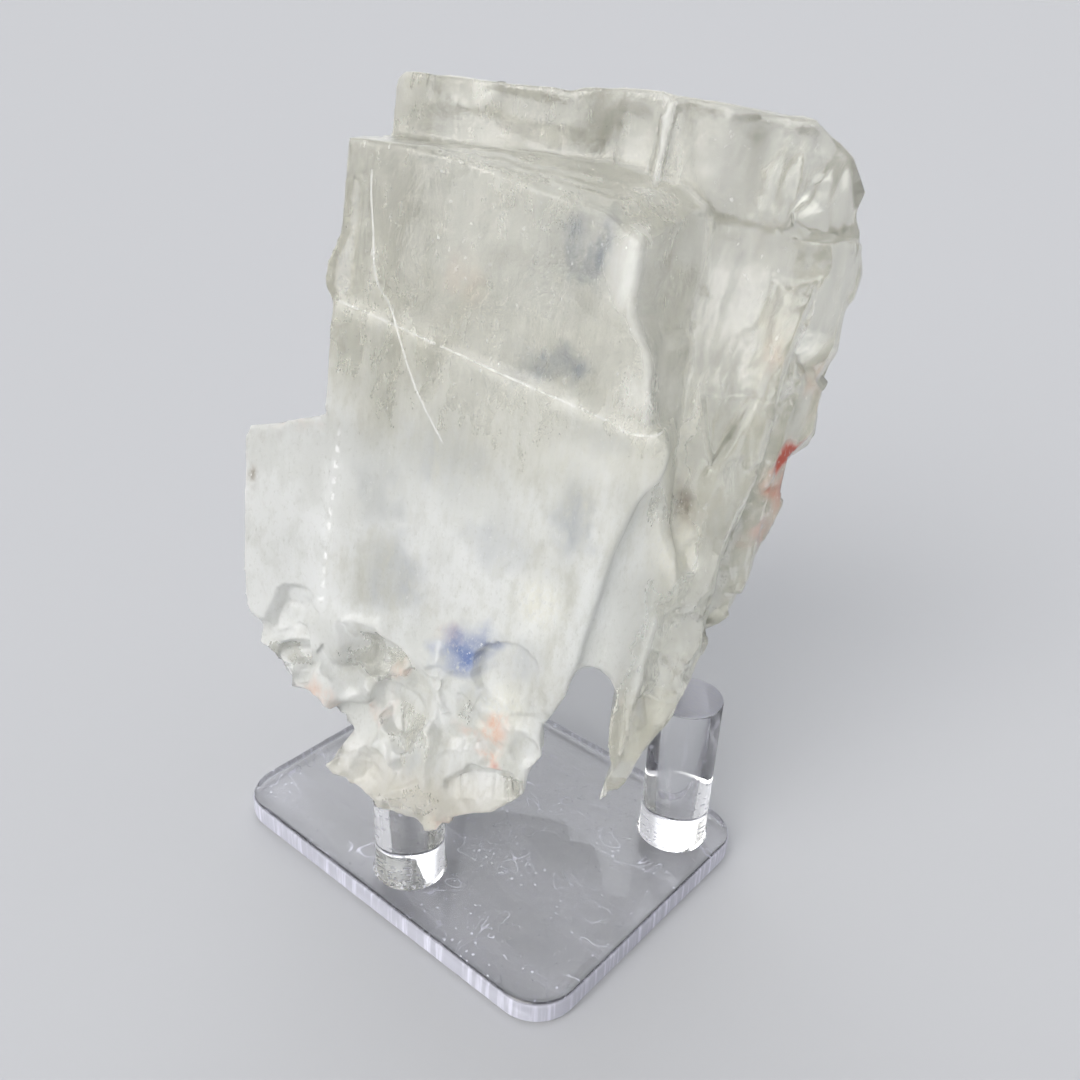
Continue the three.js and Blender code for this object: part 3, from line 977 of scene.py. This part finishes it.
def plate_material(settings):
    """Acrylic sheet: hairline scratches, dust and a wiped film on top, bright matt sawn edges."""
    material, start = new_material("plate_acrylic")
    where = stretched(start.node("ShaderNodeTexCoord", output=3), (1 / MM,) * 3)
    normal = start.node("ShaderNodeTexCoord", output=1)
    facing = start.node("ShaderNodeSeparateXYZ", None, {"Vector": normal}, 2)
    upper = between(facing, 0.75, 0.95)
    side = between(facing.math("ABSOLUTE", facing), 0.85, 0.35)
    wiped = cloud_noise(stretched(where, (0.03, 0.10, 0.05)), 1.0, 3, 0.6, 0.8)
    swirls = cloud_noise(where, 0.09, 1, 0.5, 1.5)
    sawn = cloud_noise(stretched(where, (0.9, 0.9, 0.06)), 1.0, 2, 0.6)
    grain = where.node("ShaderNodeTexVoronoi", {"feature": "F1"}, {"Vector": where, "Scale": 0.7})
    hair = (swirls - 0.5).math("ABSOLUTE", swirls - 0.5)
    lines = between(hair, 0.0050, 0.0015) * between(wiped, 0.40, 0.52) * upper
    specks = between(grain, 0.20, 0.09) * between(wiped, 0.40, 0.58) * upper
    film = between(wiped, 0.30, 0.70) * upper * 0.10
    frosted = side * (0.50 + between(sawn, 0.45, 0.75) * 0.30)
    dirt = strongest(specks * 0.9, lines * 0.75, film, frosted)
    roughness = 0.012 + between(wiped, 0.45, 0.8) * 0.05 + side * 0.12
    show(start, acrylic(start, dirt, roughness, settings))
    return material


def peg_material(settings):
    """Acrylic rod: polished round side with drawn lines, frosted sawn top, bubbles in the glued foot."""
    material, start = new_material("peg_acrylic")
    where = stretched(start.node("ShaderNodeTexCoord", output=3), (1 / MM,) * 3)
    height = start.node("ShaderNodeSeparateXYZ", None, {"Vector": where}, 2)
    low, high = (corner.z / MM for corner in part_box(PEG_NODES[0]))
    drawn = cloud_noise(stretched(where, (0.9, 0.9, 0.04)), 1.0, 2, 0.6)
    sawn = cloud_noise(stretched(where, (0.5, 2.5, 1.0)), 1.0, 2, 0.6)
    bubbles = where.node("ShaderNodeTexVoronoi", {"feature": "F1"}, {"Vector": where, "Scale": 0.9})
    top = between(height, high - 0.25, high - 0.02)
    foot = between(height, low + 1.2, low + 0.2)
    cut = top * (0.30 + between(sawn, 0.4, 0.7) * 0.25)
    glued = foot * between(bubbles, 0.32, 0.18) * 0.5
    dirt = strongest(cut, between(drawn, 0.60, 0.72) * 0.10, glued)
    roughness = 0.012 + top * 0.3 + between(drawn, 0.5, 0.7) * 0.04
    show(start, acrylic(start, dirt, roughness, settings))
    return material


class CRYSTAL_OT_build_plate(bpy.types.Operator):
    """Build the clear plate with its round corners and edges"""
    bl_idname = "mineral.build_plate"
    bl_label = "Plate"

    def execute(self, context):
        settings = context.scene.stand_settings
        piece = build_plate_mesh(settings)
        finish_piece(piece, plate_material(settings), "base_plate")
        return {"FINISHED"}


class CRYSTAL_OT_build_pegs(bpy.types.Operator):
    """Build the three clear pegs with sawn tops and glued feet"""
    bl_idname = "mineral.build_pegs"
    bl_label = "Pegs"

    def execute(self, context):
        settings = context.scene.stand_settings
        material = peg_material(settings)
        for node in PEG_NODES:
            finish_piece(build_peg_mesh(node, settings), material, node)
        return {"FINISHED"}


# The stage.

CAMERA_RIGHT = (0.7575, 0.6515, 0.0410)
CAMERA_UP = (-0.3316, 0.3298, 0.8839)
CAMERA_BACK = (0.5623, -0.6831, 0.4659)
FRAME_WIDTH = 36
NEAREST_SEEN = 0.01
FLOOR_DROP = 0.0002
# Patches of light: direction, half angle in degrees and tint. The core of a patch is even.
KEY_PATCH = ((0.10, -0.86, 0.58), 28, (1.0, 0.985, 0.96))
BACK_PATCH = ((-0.60, 0.55, 0.60), 40, (0.96, 0.98, 1.0))
PATCH_CORE = 0.4
# Tones of the room from the level of the floor up.
ROOM_TONES = ((0.0, tone(223, 224, 228)), (0.3, tone(216, 217, 220)), (1.0, tone(236, 237, 240)))


def floor_material(settings):
    material, start = new_material("pale_floor")
    show(start, start.node("ShaderNodeBsdfDiffuse", None, {"Color": (*settings.floor, 1)}))
    return material


def studio_world(settings):
    """A pale room with two soft patches of light: a key from the front left and one from behind."""
    world = bpy.data.worlds.new("studio")
    world.use_nodes = True
    world.node_tree.nodes.clear()
    start = Wire(world.node_tree)
    towards = start.node("ShaderNodeTexCoord")
    up = start.node("ShaderNodeSeparateXYZ", None, {"Vector": towards}, 2)
    room = start.node("ShaderNodeValToRGB", {"stops": ROOM_TONES}, {"Fac": up})
    light = start.node("ShaderNodeBackground", None, {"Color": room, "Strength": settings.room})
    for (direction, spread, tint), strength in ((KEY_PATCH, settings.key), (BACK_PATCH, settings.rim)):
        aim = tuple(Vector(direction).normalized())
        facing = vector("DOT_PRODUCT", towards, aim, output=1)
        edge, core = (math.cos(math.radians(spread * part)) for part in (1, PATCH_CORE))
        patch = between(facing, edge, core)
        lamp = start.node("ShaderNodeBackground", None, {"Color": (*tint, 1), "Strength": patch * strength})
        light = start.node("ShaderNodeAddShader", None, {0: light, 1: lamp})
    output = world.node_tree.nodes.new("ShaderNodeOutputWorld")
    world.node_tree.links.new(light.socket, output.inputs["Surface"])
    # The light is wide and soft, so rays find it without being aimed at it.
    world.cycles.sampling_method = "NONE"
    return world


class CRYSTAL_OT_build_stage(bpy.types.Operator):
    """Build the pale floor, the soft lights, the surroundings and the camera"""
    bl_idname = "mineral.build_stage"
    bl_label = "Stage"

    def execute(self, context):
        scene = context.scene
        settings = scene.stage_settings
        clear_selection()
        bpy.ops.mesh.primitive_plane_add(size=settings.floor_size, location=(0, 0, -FLOOR_DROP))
        bpy.ops.object.transform_apply(location=True)
        floor = bpy.context.object
        floor.name = "pale_floor"
        floor.data.materials.append(floor_material(settings))
        scene.world = studio_world(settings)
        clear_selection()
        bpy.ops.object.camera_add(location=settings.camera_place)
        camera = bpy.context.object
        camera.name = "camera"
        axes = Matrix((CAMERA_RIGHT, CAMERA_UP, CAMERA_BACK)).transposed()
        camera.rotation_euler = axes.to_euler()
        camera.data.lens = settings.camera_lens
        camera.data.sensor_width = FRAME_WIDTH
        camera.data.clip_start = NEAREST_SEEN
        scene.camera = camera
        scene.view_settings.view_transform = "Standard"
        return {"FINISHED"}


class VIEW3D_PT_crystal(bpy.types.Panel):
    bl_label = "Crystal on a clear stand"
    bl_idname = "VIEW3D_PT_crystal"
    bl_space_type = "VIEW_3D"
    bl_region_type = "UI"
    bl_category = "Crystal"

    def draw(self, context):
        for name in SETTINGS:
            settings = getattr(context.scene, name)
            for key in settings.__annotations__:
                self.layout.prop(settings, key)
        for operator in OPERATORS:
            self.layout.operator(operator.bl_idname)


SETTINGS = {
    "crystal_settings": CrystalSettings,
    "stand_settings": StandSettings,
    "stage_settings": StageSettings,
}
OPERATORS = (CRYSTAL_OT_build_stage, CRYSTAL_OT_build_plate, CRYSTAL_OT_build_pegs, CRYSTAL_OT_build_crystal)
CLASSES = (*SETTINGS.values(), *OPERATORS, VIEW3D_PT_crystal)


def register():
    for listed in CLASSES:
        bpy.utils.register_class(listed)
    for name, group in SETTINGS.items():
        setattr(bpy.types.Scene, name, PointerProperty(type=group))


def unregister():
    for name in SETTINGS:
        delattr(bpy.types.Scene, name)
    for listed in reversed(CLASSES):
        bpy.utils.unregister_class(listed)


def main():
    register()
    bpy.ops.mineral.build_stage()
    bpy.ops.mineral.build_plate()
    bpy.ops.mineral.build_pegs()
    bpy.ops.mineral.build_crystal()


if __name__ == "__main__":
    main()
